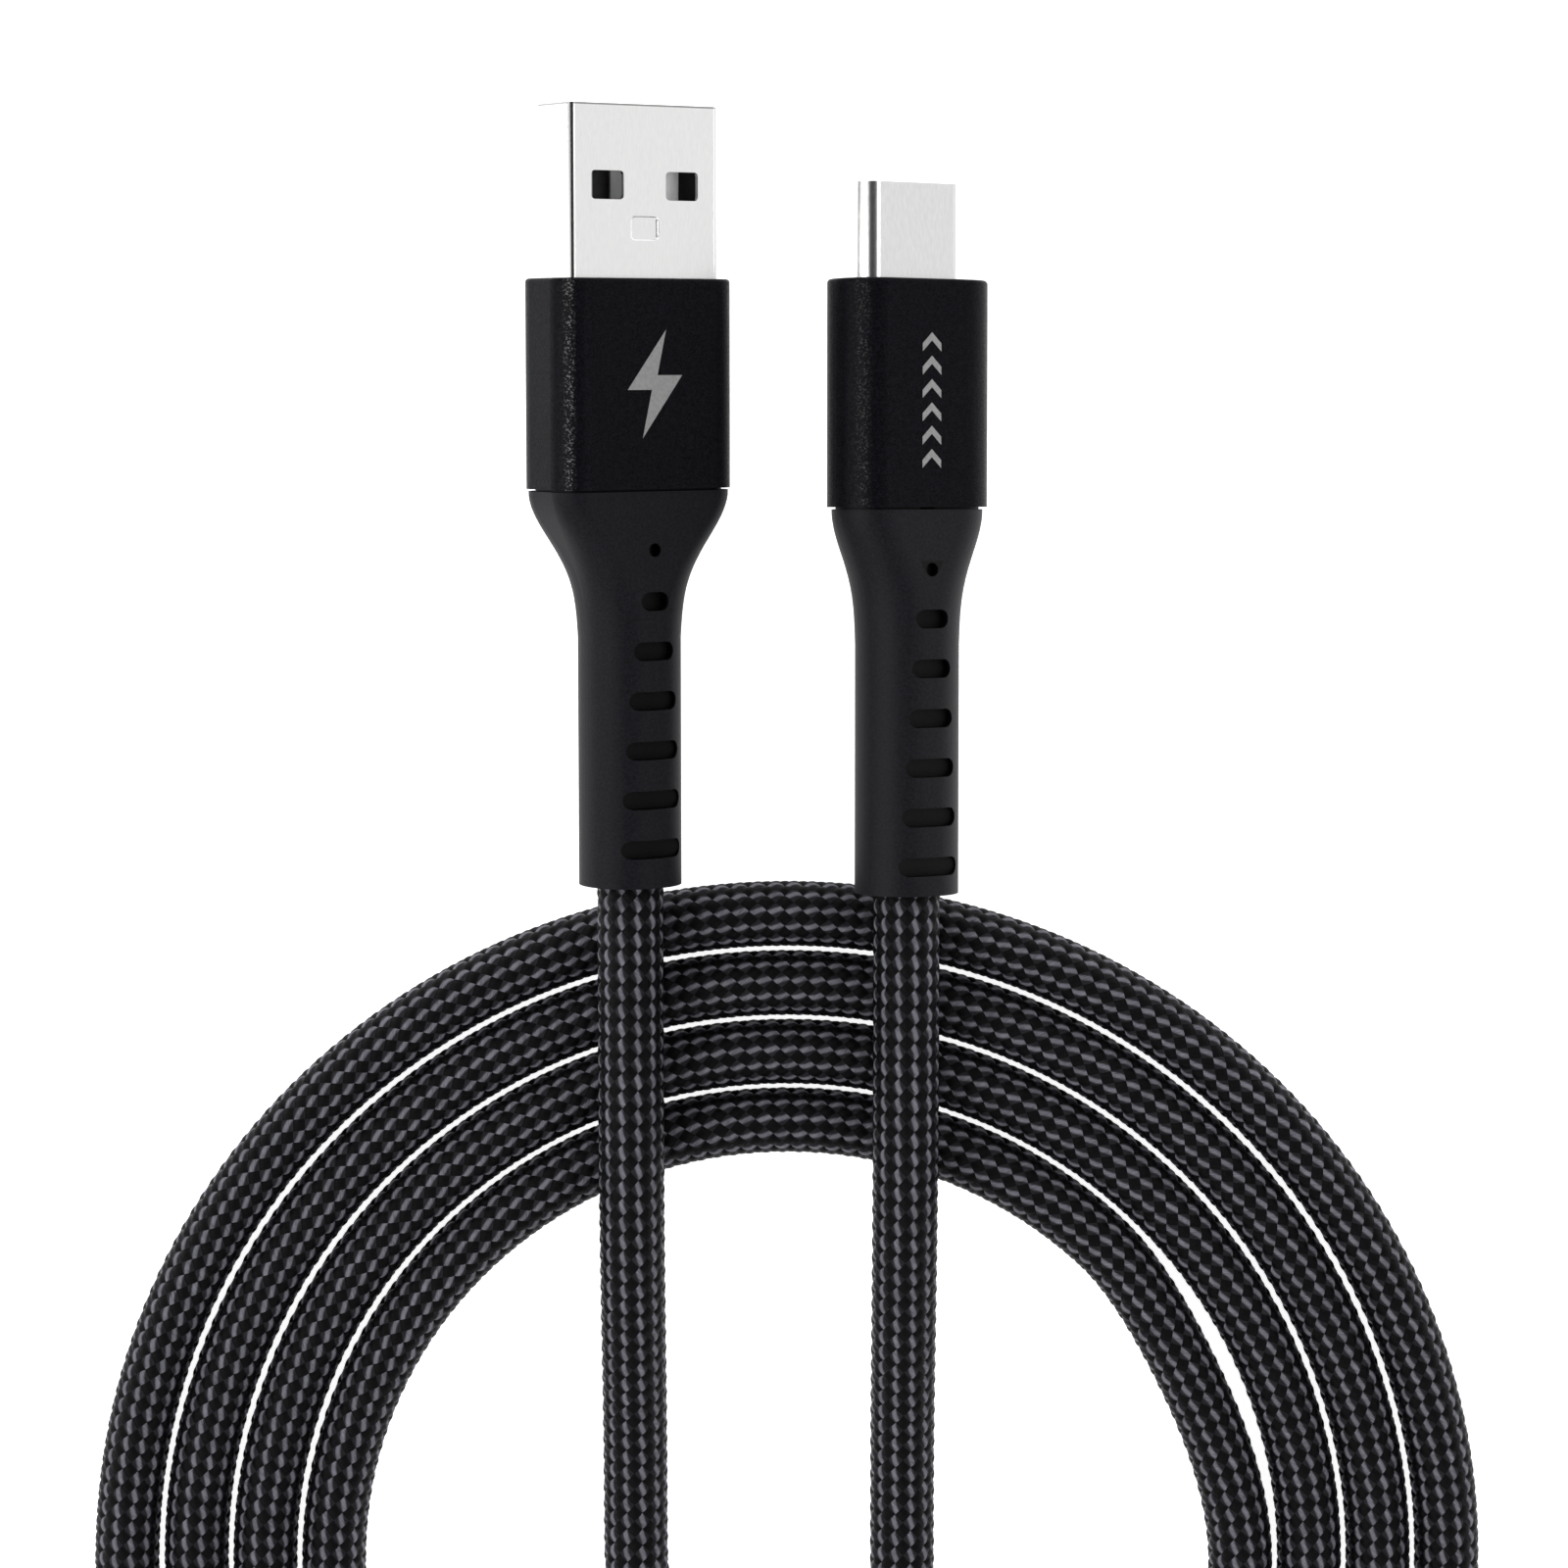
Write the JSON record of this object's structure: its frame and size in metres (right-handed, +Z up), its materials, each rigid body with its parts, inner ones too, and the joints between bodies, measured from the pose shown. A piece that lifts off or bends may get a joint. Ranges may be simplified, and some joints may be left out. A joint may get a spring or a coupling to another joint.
{
  "type": "charging cable",
  "caption": "Braided black charging cable with a rectangular plug on one end and a small oval plug on the other, wound in rings.",
  "frame": {"origin": "on the surface, under the middle of the two plugs", "axes": "+Y towards both plugs' tips, +X from the rectangular plug to the oval plug, +Z up from the surface"},
  "size_m": [0.1006, 0.1527, 0.0124],
  "materials": {
    "plated_shell": "polished",
    "anodised_housing": "bead blasted and anodised",
    "boot_rubber": "matte",
    "black_plastic": "satin",
    "light_mould": "satin",
    "gold_contact": "gold plated",
    "inner_steel": "satin",
    "circuit_board": "solder mask",
    "resistor_body": "satin",
    "wire_red": "satin",
    "wire_black": "satin",
    "wire_white": "satin",
    "wire_green": "satin",
    "braided_cord": "woven nylon"
  },
  "bodies": {
    "root": {"cord_coil": "braided_cord", "cord_end_a": "braided_cord", "cord_end_c": "braided_cord", "cord_run_a": "braided_cord", "cord_run_c": "braided_cord", "usb_a_boot": "boot_rubber", "usb_a_crimp": "inner_steel", "usb_a_data_contacts": "inner_steel", "usb_a_housing": "anodised_housing", "usb_a_inner_mould": "black_plastic", "usb_a_power_contacts": "inner_steel", "usb_a_shell": "plated_shell", "usb_a_tongue": "black_plastic", "usb_a_wire_black": "wire_black", "usb_a_wire_green": "wire_green", "usb_a_wire_red": "wire_red", "usb_a_wire_white": "wire_white", "usb_c_boot": "boot_rubber", "usb_c_contacts_lower": "gold_contact", "usb_c_contacts_upper": "gold_contact", "usb_c_crimp": "inner_steel", "usb_c_housing": "anodised_housing", "usb_c_inner_mould": "light_mould", "usb_c_insulator": "black_plastic", "usb_c_latch": "inner_steel", "usb_c_pcb": "circuit_board", "usb_c_rear_shield": "inner_steel", "usb_c_resistor": "resistor_body", "usb_c_shell": "plated_shell", "usb_c_wire_black": "wire_black", "usb_c_wire_green": "wire_green", "usb_c_wire_red": "wire_red", "usb_c_wire_white": "wire_white"}
  },
  "joints": []
}
